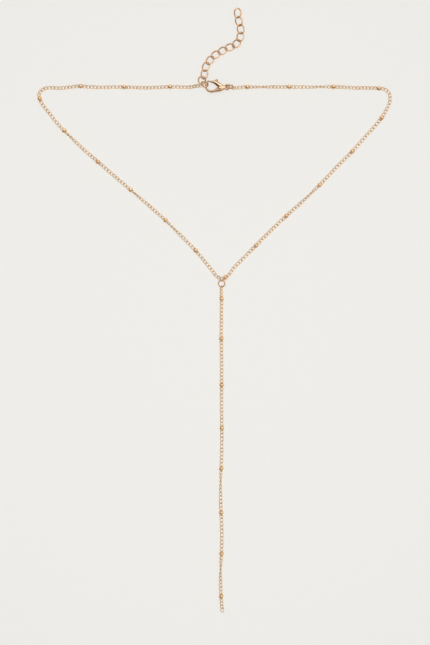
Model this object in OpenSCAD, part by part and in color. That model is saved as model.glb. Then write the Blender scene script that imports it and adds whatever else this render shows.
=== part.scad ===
// Lariat necklace in fine beaded curb chain, lying flat as it is laid out.
// The neck loop closes at the top with a lobster clasp and an extender chain.
// One long beaded drop hangs from a jump ring at the front of the loop.
// X runs across the necklace, Y from the drop's end to the extender's end,
// and Z is up from the surface that it lies on.

/* [Fine chain] */
// Outer length of one curb link
link_l = 2.65; // [2.6:0.05:2.75]
// Outer width of one curb link
link_w = 1.8; // [1.75:0.05:1.85]
// Thickness of a curb link's wire
link_wire = 0.33; // [0.3:0.01:0.35]
// How far a curb link's wire rises and dips where it is twisted
link_twist = 0.3; // [0.25:0.05:0.35]
// Usual distance between the middles of two neighbouring links
link_pitch = 1.77; // [1.74:0.01:1.8]

/* [Beads] */
// Diameter of a chain bead
bead_d = 2.2; // [2.1:0.05:2.4]
// Diameter of the hole through a bead
bead_bore = 1.6; // [1.5:0.05:1.65]
// Outer length of the link that a bead is soldered on
bead_link_l = 3.3; // [3.2:0.05:3.4]
// Distance from a bead's middle to the middle of the next link
bead_reach = 1.95; // [1.9:0.05:2]

/* [Rings] */
// Outer diameter of the rings at the neck chain's ends
ring_d = 4; // [3.9:0.1:4.2]
// Wire thickness of the rings at the neck chain's ends
ring_wire = 0.55; // [0.5:0.05:0.6]
// Outer diameter of the ring that carries the drop
drop_ring_d = 4; // [3.9:0.1:4.2]
// Wire thickness of the ring that carries the drop
drop_ring_wire = 0.5; // [0.4:0.05:0.55]

/* [Extender] */
// Outer length of an extender link
ext_l = 5.3; // [5.2:0.05:5.4]
// Outer width of an extender link
ext_w = 3.8; // [3.7:0.05:3.9]
// Wire thickness of an extender link
ext_wire = 0.55; // [0.4:0.05:0.55]
// How far an extender link's wire rises and dips where it is twisted
ext_twist = 0.4; // [0.3:0.05:0.45]
// Outer diameter of the round link at the extender's clasp end
ext_round_d = 4.2; // [4.1:0.1:4.3]

/* [Clasp] */
// Outer radius of the clasp's eye
eye_r = 1.45; // [1.4:0.05:1.5]
// Radius of the hole in the clasp's eye
eye_hole_r = 0.9; // [0.85:0.05:0.95]
// Thickness of the clasp's eye
eye_t = 1.1; // [1:0.1:1.2]
// Height of the slot that the lever swings in
slot_h = 1.16; // [1.1:0.02:1.2]
// Thickness of the lever
lever_t = 0.9; // [0.8:0.05:0.95]
// Diameter of the lever's pivot pin
pin_d = 0.8; // [0.7:0.05:0.85]
// Length of the lever's pivot pin
pin_l = 2.1; // [2:0.05:2.15]

/* [Hidden] */

chain_gold = [0.84, 0.58, 0.36];
bead_gold = [0.88, 0.6, 0.38];
clasp_gold = [0.9, 0.64, 0.44];

// Smoothness of round wire and balls
round_fn = 48;
// Rings along a curb link and sides of its wire
link_steps = 10;
link_sides = 5;
// Rings along an extender link and sides of its wire
ext_steps = 16;
ext_sides = 6;

// Middle height of a bead that rests on the surface, and of the flat link soldered in it
bead_z = bead_d / 2;
bead_link_z = 0.78;
// How far along the chain a bead lifts it, and a short way along it for finding a slope
bead_lift_reach = 3.6;
short_way = 0.1;

// The neck chain's sheath: half width, half height and middle height,
// and its radius where it passes through a bead
sheath_hw = 0.95;
sheath_hh = 0.541;
sheath_z = 0.5;
sheath_bead_r = 0.3;
sheath_sides = 8;
sheath_bead_step = 2.2;

// Places of the links that stand clear of the sheaths:
// columns are x, y, z, heading, tilt and roll
LEFT_BACK_LINKS = [
    [-6.8, 112.65, 2.08, 20, -4, 20],
    [-8.4, 112.35, 1.82, 6, -15, 22],
    [-9.95, 112.2, 1.32, 9, -23, 22],
    [-11.4, 111.9, 0.86, 8, -9, 23],
    [-12.85, 111.75, 0.66, 4, -7, 28]
];
LEFT_FRONT_LINKS = [
    [0.95, 17.6, 0.64, -42, 3, 13],
    [2.25, 16.75, 0.88, -32, -18, 9]
];
CENTRE_LINK = [3.75, 15.85, 0.96, -4, 16, 1];
centre_link_l = 3;
centre_link_w = 2.3;
RIGHT_FRONT_LINKS = [
    [7.15, 17.95, 0.86, 44, 6, -23]
];
RIGHT_BACK_LINKS = [
    [9.6, 111.5, 0.98, 0, 19, 4],
    [11.05, 111.6, 0.66, 0, 6, -3]
];

// Route of the left neck chain from the clasp's side to the front:
// columns are x, y and 1 where a bead sits
LEFT_ROUTE = [
    [-14.4, 111.7, 0],
    [-22.1, 112, 1],
    [-33.4, 111.6, 0],
    [-44.9, 111.9, 1],
    [-61, 111.9, 0],
    [-66.8, 112.3, 1],
    [-78.1, 111.4, 0],
    [-81.7, 111.6, 0],
    [-84.3, 111.3, 0],
    [-86.3, 110.1, 0],
    [-87.5, 108.5, 0],
    [-87.2, 106, 1],
    [-86.2, 103.8, 0],
    [-83.8, 100.6, 0],
    [-81.7, 98, 0],
    [-79.9, 95.6, 0],
    [-77.3, 92.5, 0],
    [-75, 90.1, 1],
    [-66.7, 82.1, 0],
    [-58.1, 74.5, 1],
    [-41.8, 60.5, 1],
    [-24.4, 45.3, 1],
    [-16.8, 37.8, 0],
    [-9.3, 30.2, 1],
    [-5.7, 25.9, 0],
    [-2.7, 22.2, 0],
    [-0.2, 18.8, 0]
];
// Route of the right neck chain from the front to the clasp
RIGHT_ROUTE = [
    [8.2, 19.2, 0],
    [10.6, 22.4, 0],
    [13.1, 24.9, 0],
    [15.2, 27, 0],
    [20.8, 32.7, 1],
    [28.3, 40.2, 0],
    [36, 47.5, 1],
    [44.5, 55.1, 0],
    [52.6, 62.9, 1],
    [60.7, 71.4, 0],
    [68.9, 79.7, 1],
    [76.3, 88, 0],
    [83.6, 96.5, 1],
    [86, 100.4, 0],
    [87.4, 103.5, 0],
    [87.9, 106.7, 0],
    [87.2, 109.2, 0],
    [85.2, 110.7, 0],
    [82.2, 111.2, 1],
    [70.8, 111.5, 0],
    [59.5, 112, 1],
    [48.6, 111.9, 0],
    [37.4, 112, 1],
    [27.1, 111.9, 0],
    [16.5, 111.9, 1],
    [12.6, 111.7, 0]
];

// Place of the soldered bead beside the centre link
FRONT_BEAD = [5.55, 16.8, 0.86, 32, 0, -15];
// Place of the ring that carries the drop
DROP_RING = [3.65, 13.75, 1, -1, -25, -2];

// Route of the drop from its ring to its end: columns are x, y, 1 where a bead sits,
// the roll of the chain before any turning, and the sideways bow of the stretch after it
DROP_ROUTE = [
    [3.55, 11.5, 0, 136, 0],
    [3.65, 6.1, 1, 155, 0],
    [3.5, -13.9, 1, 180, 0.1],
    [3.65, -37, 1, 180, 0],
    [3.75, -58.4, 1, 180, 0.15],
    [3.45, -78.7, 1, 180, -0.3],
    [3.4, -100.7, 1, 180, 0.25],
    [3.6, -121.2, 1, 180, -0.35],
    [3.4, -142.5, 1, 180, 0],
    [3.95, -149.4, 0, 180, 0]
];
// Where along y the drop turns half over, and the length that each turning takes
DROP_TURNINGS = [-85.5, -129];
turning_l = 18;

// Places of the extender's twisted links from its free end to the clasp:
// columns are x, y, z, heading, tilt and roll
EXT_LINKS = [
    [11.7, 148.8, 0.8, -90, 0, 6],
    [12.3, 144.8, 0.85, -75, 2, 1],
    [13.2, 140.85, 0.8, -82, -2, -1],
    [13, 136.95, 0.84, -105, -3, 0],
    [11.1, 133.55, 0.88, -135, -3, 0],
    [7.65, 131.75, 0.75, -163, 2, -2],
    [4.1, 130, 0.75, -152, 0, -2],
    [0.65, 128, 0.75, -147, 1, 1],
    [-2.15, 125.25, 0.84, -129, -1, 2],
    [-4.2, 122, 0.88, -113, 1, 6],
    [-4.95, 118.2, 1.24, -99, -8, 7]
];
// Places of the extender's round link and of the rings at the neck chain's ends
EXT_ROUND = [-6.15, 115.3, 1.16, -27, 7, 10];
END_RING = [-4.85, 113.25, 1.38, -1, 15, -37];
CLASP_RING = [7.7, 111.95, 1.86, -7, 2, 66];

// Middle of the clasp's eye. The hook points towards -X
CLASP = [6.3, 111.75, 1.3];
// Rows along the clasp's body and hook, seen from the eye's middle:
// columns are x, y, half width and half height
CLASP_ROWS = [
    [-1, 0, 0.75, 0.65],
    [-2, -0.2, 1.15, 0.95],
    [-3.2, -0.5, 1.55, 1.25],
    [-4.3, -1.1, 1.2, 1.3],
    [-5.4, -1.65, 0.75, 1.2],
    [-6.8, -2.05, 0.55, 1.05],
    [-8.2, -2.15, 0.5, 0.9],
    [-9.3, -1.75, 0.48, 0.6],
    [-10.15, -0.85, 0.43, 0.5],
    [-10.5, 0.3, 0.4, 0.45],
    [-10.4, 1.5, 0.4, 0.45],
    [-9.95, 2.4, 0.4, 0.45],
    [-9.3, 2.85, 0.4, 0.45],
    [-8.75, 2.95, 0.35, 0.45]
];
clasp_sides = 12;
// Pivot of the lever, seen from the eye's middle
PIVOT = [-3, 0.3];
// Room for the lever's hub, and the slot's outline
hub_room_r = 1.35;
SLOT = [[-3, -1.05], [-4.6, -0.75], [-8, 0.3], [-8, 4.5], [-3, 4.5]];
// Discs that shape the lever, seen from the eye's middle: columns are x, y and radius
LEVER_HUB = [-3, 0.3, 1.2];
LEVER_ELBOW = [-5.9, 2.35, 0.85];
LEVER_TIP = [-8.17, 2.75, 0.38];
LEVER_TAB = [-4.95, 3.6, 0.55];
// Room round the pin in the lever and in the body
lever_play = 0.05;
pin_play = 0.02;

function unit(v) = v / norm(v);

// A point turned by its roll about X, its tilt about Y and its heading about Z
function turned(v, heading, tilt, roll) =
    let (
        a = [v.x, v.y * cos(roll) - v.z * sin(roll), v.y * sin(roll) + v.z * cos(roll)],
        b = [a.x * cos(tilt) + a.z * sin(tilt), a.y, a.z * cos(tilt) - a.x * sin(tilt)]
    )
    [b.x * cos(heading) - b.y * sin(heading), b.x * sin(heading) + b.y * cos(heading), b.z];

// Points of a curb link: wire round an ellipse that rises and dips twice on its way.
// size holds the outer length, outer width, wire and twist
function link_points(size, steps, sides, place) =
    let (
        a = (size[0] - size[2]) / 2,
        b = (size[1] - size[2]) / 2
    )
    [
        for (i = [0 : steps - 1])
        let (
            t = 360 * i / steps,
            mid = [a * cos(t), b * sin(t), size[3] * sin(2 * t)],
            along = unit([-a * sin(t), b * cos(t), 2 * size[3] * cos(2 * t)]),
            out = unit(cross(along, [0, 0, 1])),
            up = cross(out, along)
        )
        for (j = [0 : sides - 1])
        let (q = 360 * j / sides)
        [place[0], place[1], place[2]]
            + turned(mid + size[2] / 2 * (cos(q) * out + sin(q) * up), place[3], place[4], place[5])
    ];

// Triangles of one closed link whose points start at first
function link_faces(steps, sides, first = 0) = [
    for (i = [0 : steps - 1], j = [0 : sides - 1])
    let (
        here = first + i * sides,
        next = first + (i + 1) % steps * sides,
        k = (j + 1) % sides
    )
    each [[here + j, here + k, next + k], [here + j, next + k, next + j]]
];

module curb_link(size, steps, sides, place) {
    polyhedron(link_points(size, steps, sides, place), link_faces(steps, sides));
}

module fine_link(place) {
    curb_link([link_l, link_w, link_wire, link_twist], link_steps, link_sides, place);
}

// A plain round ring of wire
module wire_ring(d, wire, place) {
    translate([place[0], place[1], place[2]])
        rotate([place[5], place[4], place[3]])
            rotate_extrude($fn = round_fn)
                translate([(d - wire) / 2, 0])
                    circle(d = wire, $fn = round_fn / 2);
}

// A ball drilled along the chain, with its middle at the origin and the chain along X
module drilled_ball() {
    rotate([0, 90, 0])
        rotate_extrude($fn = round_fn)
            difference() {
                circle(d = bead_d, $fn = round_fn);
                translate([-bead_d, -bead_d])
                    square([bead_d + bead_bore / 2, 2 * bead_d]);
            }
}

// A ball that rests on the surface, soldered on its own curb link
module soldered_bead(place) {
    union() {
        translate([place[0], place[1], bead_z])
            rotate([0, 0, place[3]])
                drilled_ball();
        curb_link([bead_link_l, link_w, link_wire, link_twist], link_steps, link_sides, place);
    }
}

// The route's rows with a ring before and after each bead: columns are x, y and 1 at a bead
function sheath_rows(route) = [
    for (i = [0 : len(route) - 1])
    let (p = [route[i][0], route[i][1]])
    if (route[i][2] == 0)
        [p.x, p.y, 0]
    else
        let (
            back = [route[i - 1][0], route[i - 1][1]],
            ahead = [route[i + 1][0], route[i + 1][1]],
            a = p + sheath_bead_step * unit(back - p),
            b = p + sheath_bead_step * unit(ahead - p)
        )
        each [[a.x, a.y, 0], [p.x, p.y, 1], [b.x, b.y, 0]]
];

// Points of a flattened sheath carried along its rows, drawn in to a round neck at each bead
function sheath_points(rows) = [
    for (i = [0 : len(rows) - 1])
    let (
        last = len(rows) - 1,
        here = [rows[i][0], rows[i][1]],
        from = i == 0 ? here : [rows[i - 1][0], rows[i - 1][1]],
        to = i == last ? here : [rows[i + 1][0], rows[i + 1][1]],
        into = from == here ? unit(to - here) : unit(here - from),
        away = to == here ? into : unit(to - here),
        dir = unit(into + away),
        bead = rows[i][2] == 1,
        hw = bead ? sheath_bead_r : sheath_hw,
        hh = bead ? sheath_bead_r : sheath_hh,
        z = bead ? bead_z : sheath_z
    )
    for (j = [0 : sheath_sides - 1])
    let (q = 360 * (j + 0.5) / sheath_sides)
    [here.x + hw * cos(q) * dir.y, here.y - hw * cos(q) * dir.x, z + hh * sin(q)]
];

// Faces of an open sheath with flat ends
function sheath_faces(count) = concat(
    [[for (j = [sheath_sides - 1 : -1 : 0]) j]],
    [
        for (i = [0 : count - 2], j = [0 : sheath_sides - 1])
        let (
            here = i * sheath_sides,
            next = here + sheath_sides,
            k = (j + 1) % sheath_sides
        )
        each [[here + j, here + k, next + k], [here + j, next + k, next + j]]
    ],
    [[for (j = [0 : sheath_sides - 1]) (count - 1) * sheath_sides + j]]
);

module sheath(route) {
    rows = sheath_rows(route);
    polyhedron(sheath_points(rows), sheath_faces(len(rows)));
}

module neck_chain_left() {
    color(chain_gold) {
        sheath(LEFT_ROUTE);
        for (place = LEFT_BACK_LINKS)
            fine_link(place);
        for (place = LEFT_FRONT_LINKS)
            fine_link(place);
        curb_link([centre_link_l, centre_link_w, link_wire, link_twist], link_steps, link_sides, CENTRE_LINK);
    }
}

module neck_chain_right() {
    color(chain_gold) {
        sheath(RIGHT_ROUTE);
        for (place = RIGHT_FRONT_LINKS)
            fine_link(place);
        for (place = RIGHT_BACK_LINKS)
            fine_link(place);
    }
}

// Rows of a route that carry a bead, with the rows before and after them
function bead_rows(route) = [
    for (i = [0 : len(route) - 1])
    if (route[i][2] == 1)
        [route[i], route[i - 1], route[i + 1]]
];

LEFT_BEADS = bead_rows(LEFT_ROUTE);
RIGHT_BEADS = bead_rows(RIGHT_ROUTE);

// A drilled bead round the sheath, lined up with the route on both sides of it
module sheath_bead(row) {
    here = [row[0][0], row[0][1]];
    dir = unit(here - [row[1][0], row[1][1]]) + unit([row[2][0], row[2][1]] - here);
    translate([here.x, here.y, bead_z])
        rotate([0, 0, atan2(dir.y, dir.x)])
            drilled_ball();
}

// Beads 1 to 9 are on the left chain, 10 is soldered at the front, 11 to 19 are on the right chain
module neck_bead(i) {
    color(bead_gold) {
        if (i < 10)
            sheath_bead(LEFT_BEADS[i - 1]);
        if (i == 10)
            soldered_bead(FRONT_BEAD);
        if (i > 10)
            sheath_bead(RIGHT_BEADS[i - 11]);
    }
}

// Middle height of a link that is rolled about the chain, clear of the surface
function rolled_z(roll) =
    link_wire / 2 + (link_w - link_wire) / 2 * abs(sin(roll)) + link_twist * abs(cos(roll));

// Share of a bead's lift at a distance along the chain
function lift(d) = d < bead_lift_reach ? (1 + cos(180 * d / bead_lift_reach)) / 2 : 0;

// Share of a turning that lies behind a link which has passed its middle by this much
function passed(past) = min(max(past / turning_l + 0.5, 0), 1);

// Roll that the drop's turnings take off at y
function turned_over(y) = 180 * (passed(DROP_TURNINGS[0] - y) + passed(DROP_TURNINGS[1] - y));

// Places of the links between two rows of the drop's route, spaced evenly
function stretch_places(p, q) =
    let (
        a = [p[0], p[1]],
        b = [q[0], q[1]],
        dir = unit(b - a),
        side = [-dir.y, dir.x],
        start = p[2] * bead_reach,
        full = norm(b - a),
        run = full - start - q[2] * bead_reach,
        count = round(run / link_pitch)
    )
    [
        for (i = [0 : count])
        let (
            d = start + run * i / count,
            share = d / full,
            at = a + d * dir + p[4] * sin(180 * share) * side,
            bend = atan(PI * p[4] / full * cos(180 * share)),
            roll = p[3] + (q[3] - p[3]) * share - turned_over(at.y),
            up = p[2] * lift(d) + q[2] * lift(full - d),
            up_next = p[2] * lift(d + short_way) + q[2] * lift(full - d - short_way),
            z = rolled_z(roll),
            rise = max(bead_link_z, z) - z,
            slope = (up_next - up) / short_way * rise
        )
        [at.x, at.y, z + rise * up, atan2(dir.y, dir.x) + bend, -atan(slope), roll]
    ];

DROP_LINKS = [
    for (i = [0 : len(DROP_ROUTE) - 2])
    each stretch_places(DROP_ROUTE[i], DROP_ROUTE[i + 1])
];

module drop_chain() {
    size = [link_l, link_w, link_wire, link_twist];
    each_link = link_steps * link_sides;
    color(chain_gold)
        polyhedron(
            [for (place = DROP_LINKS) each link_points(size, link_steps, link_sides, place)],
            [for (i = [0 : len(DROP_LINKS) - 1]) each link_faces(link_steps, link_sides, i * each_link)]
        );
}

module drop_bead(i) {
    row = DROP_ROUTE[i];
    before = DROP_ROUTE[i - 1];
    after = DROP_ROUTE[i + 1];
    dir = unit([row[0] - before[0], row[1] - before[1]]) + unit([after[0] - row[0], after[1] - row[1]]);
    roll = row[3] - turned_over(row[1]);
    color(bead_gold)
        soldered_bead([row[0], row[1], max(bead_link_z, rolled_z(roll)), atan2(dir.y, dir.x), 0, roll]);
}

module drop_ring() {
    color(clasp_gold)
        wire_ring(drop_ring_d, drop_ring_wire, DROP_RING);
}

module end_ring() {
    color(clasp_gold)
        wire_ring(ring_d, ring_wire, END_RING);
}

module clasp_ring() {
    color(clasp_gold)
        wire_ring(ring_d, ring_wire, CLASP_RING);
}

module extender_link(i) {
    color(clasp_gold) {
        if (i < 12)
            curb_link([ext_l, ext_w, ext_wire, ext_twist], ext_steps, ext_sides, EXT_LINKS[i - 1]);
        if (i == 12)
            wire_ring(ext_round_d, ext_wire, EXT_ROUND);
    }
}

// Points of the clasp's body and hook: an upright oval carried along the rows
function clasp_points() = [
    for (i = [0 : len(CLASP_ROWS) - 1])
    let (
        last = len(CLASP_ROWS) - 1,
        row = CLASP_ROWS[i],
        from = CLASP_ROWS[max(i - 1, 0)],
        to = CLASP_ROWS[min(i + 1, last)],
        dir = unit([to[0] - from[0], to[1] - from[1]])
    )
    for (j = [0 : clasp_sides - 1])
    let (q = 360 * j / clasp_sides)
    [row[0] + row[2] * cos(q) * dir.y, row[1] - row[2] * cos(q) * dir.x, row[3] * sin(q)]
];

function clasp_faces() =
    let (last = (len(CLASP_ROWS) - 1) * clasp_sides)
    concat(
        [[for (j = [clasp_sides - 1 : -1 : 0]) j]],
        [
            for (i = [0 : len(CLASP_ROWS) - 2], j = [0 : clasp_sides - 1])
            let (
                here = i * clasp_sides,
                next = here + clasp_sides,
                k = (j + 1) % clasp_sides
            )
            each [[here + j, here + k, next + k], [here + j, next + k, next + j]]
        ],
        [[for (j = [0 : clasp_sides - 1]) last + j]]
    );

module clasp_body() {
    color(clasp_gold)
        translate(CLASP)
            difference() {
                union() {
                    polyhedron(clasp_points(), clasp_faces());
                    cylinder(r = eye_r, h = eye_t, center = true, $fn = round_fn);
                }
                cylinder(r = eye_hole_r, h = 2 * eye_t, center = true, $fn = round_fn);
                translate([PIVOT.x, PIVOT.y, 0])
                    cylinder(d = pin_d + 2 * pin_play, h = 2 * pin_l, center = true, $fn = round_fn);
                translate([PIVOT.x, PIVOT.y, 0])
                    cylinder(r = hub_room_r, h = slot_h, center = true, $fn = round_fn);
                translate([0, 0, -slot_h / 2])
                    linear_extrude(slot_h)
                        polygon(SLOT);
            }
}

module clasp_pin() {
    color(clasp_gold)
        translate(CLASP + [PIVOT.x, PIVOT.y, 0])
            cylinder(d = pin_d, h = pin_l, center = true, $fn = round_fn);
}

// A flat bar with round ends between two discs
module disc_bar(a, b) {
    hull() {
        translate([a[0], a[1]])
            circle(r = a[2], $fn = round_fn);
        translate([b[0], b[1]])
            circle(r = b[2], $fn = round_fn);
    }
}

module clasp_lever() {
    color(clasp_gold)
        translate(CLASP)
            difference() {
                translate([0, 0, -lever_t / 2])
                    linear_extrude(lever_t) {
                        disc_bar(LEVER_HUB, LEVER_ELBOW);
                        disc_bar(LEVER_ELBOW, LEVER_TIP);
                        disc_bar(LEVER_ELBOW, LEVER_TAB);
                    }
                translate([PIVOT.x, PIVOT.y, 0])
                    cylinder(d = pin_d + 2 * lever_play, h = 2 * lever_t, center = true, $fn = round_fn);
            }
}

neck_chain_left();
neck_chain_right();
drop_chain();
drop_ring();
end_ring();
clasp_ring();
clasp_body();
clasp_pin();
clasp_lever();
for (i = [1:12]) extender_link(i);
for (i = [1:19]) neck_bead(i);
for (i = [1:8]) drop_bead(i);
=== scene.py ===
import bpy
import numpy as np
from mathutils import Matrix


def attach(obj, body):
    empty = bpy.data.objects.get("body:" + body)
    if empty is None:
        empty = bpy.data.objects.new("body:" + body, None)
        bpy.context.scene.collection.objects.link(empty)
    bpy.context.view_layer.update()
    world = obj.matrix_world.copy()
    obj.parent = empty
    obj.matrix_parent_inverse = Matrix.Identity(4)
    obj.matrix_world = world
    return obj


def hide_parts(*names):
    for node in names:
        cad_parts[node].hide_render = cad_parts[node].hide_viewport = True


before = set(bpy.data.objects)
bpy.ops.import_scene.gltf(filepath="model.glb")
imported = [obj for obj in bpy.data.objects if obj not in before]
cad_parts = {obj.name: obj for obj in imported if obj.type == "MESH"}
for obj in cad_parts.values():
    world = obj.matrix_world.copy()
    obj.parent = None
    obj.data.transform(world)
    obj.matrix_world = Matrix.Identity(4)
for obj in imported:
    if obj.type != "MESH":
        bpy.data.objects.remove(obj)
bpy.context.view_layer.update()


# Camera, board and light
# The necklace lies on a smooth pale board, seen from straight above. A lamp and a plain sky light it, and
# its metal mirrors a sky of its own, bright high up, dark low down and brighter on one side.
MM = 0.001
PHOTO_HEIGHT = 645
MM_PER_PIXEL = 0.5
VIEW_MIDDLE = np.array([0.35, -5.75]) * MM
LENS = 100
SENSOR = 36
BOARD_SIZE = 4.0
BOARD_COLOUR = (0.83, 0.82, 0.79, 1)
BOARD_SPECKLE = (0.815, 0.805, 0.775, 1)
SPECKLE_SCALE = 160

camera = bpy.data.objects.new("camera", bpy.data.cameras.new("camera"))
camera.data.lens = LENS
camera.data.sensor_width = SENSOR
camera.data.clip_start = 0.01
camera.data.clip_end = 20
view_height = PHOTO_HEIGHT * MM_PER_PIXEL * MM * LENS / SENSOR
camera.location = (*VIEW_MIDDLE, view_height)
bpy.context.scene.collection.objects.link(camera)
bpy.context.scene.camera = camera
bpy.context.scene.view_settings.view_transform = "Standard"


def add_node(material, kind, inputs=(), **settings):
    """A shader node with its settings, and its inputs given as (name, value or another node's output)."""
    node = material.node_tree.nodes.new("ShaderNode" + kind)
    for name, value in settings.items():
        setattr(node, name, value)
    for name, value in inputs:
        if isinstance(value, bpy.types.NodeSocket):
            material.node_tree.links.new(value, node.inputs[name])
        else:
            node.inputs[name].default_value = value
    return node


def board_surface():
    """Matt painted board: two near whites mixed by a fine noise."""
    material = bpy.data.materials.new("painted_board")
    material.use_nodes = True
    shader = material.node_tree.nodes["Principled BSDF"]
    shader.inputs["Specular IOR Level"].default_value = 0.2
    shader.inputs["Roughness"].default_value = 0.7
    place = add_node(material, "TexCoord").outputs["Object"]
    speckle = add_node(material, "TexNoise", [("Vector", place), ("Scale", SPECKLE_SCALE), ("Detail", 6.0)])
    shade = add_node(material, "Mix", [(0, speckle.outputs["Fac"]), (6, BOARD_COLOUR), (7, BOARD_SPECKLE)],
                     data_type="RGBA")
    material.node_tree.links.new(shade.outputs[2], shader.inputs["Base Color"])
    return material


board_mesh = bpy.data.meshes.new("board")
half_board = BOARD_SIZE / 2
board_mesh.from_pydata([(-half_board, -half_board, 0), (half_board, -half_board, 0),
                        (half_board, half_board, 0), (-half_board, half_board, 0)], [], [(0, 1, 2, 3)])
board_mesh.materials.append(board_surface())
board = bpy.data.objects.new("board", board_mesh)
bpy.context.scene.collection.objects.link(board)

# Brightness of the plain sky that lights the board and shows behind it
SKY_COLOUR = (0.3, 0.3, 0.3, 1)
# What the metal mirrors: height above the horizon, as the sine of its angle, and brightness
SKY_BANDS = [(0.0, 0.3), (0.2, 0.08), (0.4, 0.25), (0.6, 1.3), (0.8, 1.5), (0.93, 1.2), (1.0, 0.7)]
SKY_TINT = np.array([1.0, 0.985, 0.96])
# Darker patches in that sky: the scale of their noise, the noise values where a patch ends and where the
# open sky begins, and the light that a patch leaves
PATCH_SCALE = 1.7
PATCH_EDGES = (0.42, 0.52)
PATCH_LIGHT = 0.6
# The direction that the sky is brighter in, how far round the change reaches as the cosine of the angle
# from it, and the light on the far side and on the bright one
BRIGHT_SIDE = (0.6, 0.8, 0)
SIDE_EDGES = (-0.7, 0.7)
FAR_LIGHT = 0.1
NEAR_LIGHT = 2.0

world = bpy.data.worlds.new("soft_sky")
world.use_nodes = True
bpy.context.scene.world = world
direction = add_node(world, "TexCoord").outputs["Generated"]
height = add_node(world, "SeparateXYZ", [(0, direction)]).outputs["Z"]
bands = add_node(world, "ValToRGB", [("Fac", height)])
while len(bands.color_ramp.elements) < len(SKY_BANDS):
    bands.color_ramp.elements.new(1.0)
for element, (position, brightness) in zip(bands.color_ramp.elements, SKY_BANDS):
    element.position = position
    element.color = (*(SKY_TINT * brightness), 1)
patches = add_node(world, "TexNoise", [("Vector", direction), ("Scale", PATCH_SCALE),
                                       ("Detail", 1.0)]).outputs["Fac"]
patched = add_node(world, "MapRange", [("Value", patches), ("From Min", PATCH_EDGES[0]),
                                       ("From Max", PATCH_EDGES[1]), ("To Min", PATCH_LIGHT)]).outputs[0]
facing_side = add_node(world, "VectorMath", [(0, direction), (1, BRIGHT_SIDE)],
                       operation="DOT_PRODUCT").outputs["Value"]
sided = add_node(world, "MapRange", [("Value", facing_side), ("From Min", SIDE_EDGES[0]),
                                     ("From Max", SIDE_EDGES[1]), ("To Min", FAR_LIGHT),
                                     ("To Max", NEAR_LIGHT)]).outputs[0]
lit = add_node(world, "Math", [(0, patched), (1, sided)], operation="MULTIPLY").outputs[0]
room = add_node(world, "Mix", [(0, 1.0), (6, bands.outputs["Color"]), (7, lit)], data_type="RGBA",
                blend_type="MULTIPLY").outputs[2]
mirrored = add_node(world, "LightPath").outputs["Is Glossy Ray"]
sky_shade = add_node(world, "Mix", [(0, mirrored), (6, SKY_COLOUR), (7, room)], data_type="RGBA")
world.node_tree.links.new(sky_shade.outputs[2], world.node_tree.nodes["Background"].inputs["Color"])

# A square lamp straight overhead, aimed at the middle, which the metal doesn't mirror
LAMP_HEIGHT = 1.3
LAMP_SIZE = 0.5
LAMP_WATTS = 13.2

lamp = bpy.data.objects.new("key_lamp", bpy.data.lights.new("key_lamp", "AREA"))
lamp.data.size = LAMP_SIZE
lamp.data.energy = LAMP_WATTS
lamp.location = (0, 0, LAMP_HEIGHT)
lamp.rotation_euler = (-lamp.location).to_track_quat("-Z", "Y").to_euler()
lamp.visible_glossy = False
bpy.context.scene.collection.objects.link(lamp)


# Neck chain
# Fine curb chain. Each link is a short length of drawn brass wire, bent into an oval, soldered shut
# and twisted so that it lies flat beside the next, and the chain is polished and plated in rose gold.
LINK_LENGTH = 2.65 * MM
LINK_WIDTH = 1.8 * MM
LINK_WIRE = 0.33 * MM
LINK_TWIST = 0.3 * MM
LINK_PITCH = 1.77 * MM
# A link that carries a bead: its length, how far off the next links' middles are, the height of its own
# middle, and how far along the chain it lifts its neighbours
BEAD_LINK_LENGTH = 3.3 * MM
BEAD_REACH = 1.95 * MM
BEAD_LINK_Z = 0.78 * MM
BEAD_LIFT_REACH = 3.6 * MM
LINK_STEPS = 16
LINK_SIDES = 5
# Length of a wire's grain, against a radius of 1 round the wire, and how far apart two grains can start
GRAIN_LENGTH = 6.0
GRAIN_SPREAD = 100


def unit(v):
    """Vectors of length one, along the last axis."""
    return v / np.linalg.norm(v, axis=-1, keepdims=True)


def wire_link(length, width, wire, twist, steps, sides):
    """Surface of one curb link at the origin, as steps by sides points. The wire's middle goes round an
    ellipse, (a cos t, b sin t), and rises and dips as twist times sin 2t. The steps are where the wire
    has turned by equal angles. Each has a circle of the wire's radius round it, square to the wire."""
    a = (length - wire) / 2
    b = (width - wire) / 2
    turned = np.linspace(0, 2 * np.pi, steps, endpoint=False)[:, None]
    t = np.arctan2(b * np.sin(turned), a * np.cos(turned))
    middle = np.stack([a * np.cos(t), b * np.sin(t), twist * np.sin(2 * t)], -1)
    along = unit(np.stack([-a * np.sin(t), b * np.cos(t), 2 * twist * np.cos(2 * t)], -1))
    return wire_round(middle, along, wire / 2, sides)


def wire_round(middle, along, radius, sides):
    """Circles round the points of a path: out times cos q and up times sin q, where out is level and
    square to the path, and up is square to both."""
    q = np.linspace(0, 2 * np.pi, sides, endpoint=False)[None, :, None]
    out = unit(np.cross(along, [0.0, 0.0, 1.0]))
    up = np.cross(out, along)
    return middle + radius * (np.cos(q) * out + np.sin(q) * up)


def loop_faces(steps, sides):
    """Quads of a surface that closes on itself both along and around."""
    i, j = np.meshgrid(np.arange(steps), np.arange(sides), indexing="ij")
    i_next = (i + 1) % steps
    j_next = (j + 1) % sides
    corners = [i * sides + j, i_next * sides + j, i_next * sides + j_next, i * sides + j_next]
    return np.stack(corners, -1).reshape(-1, 4)


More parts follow.
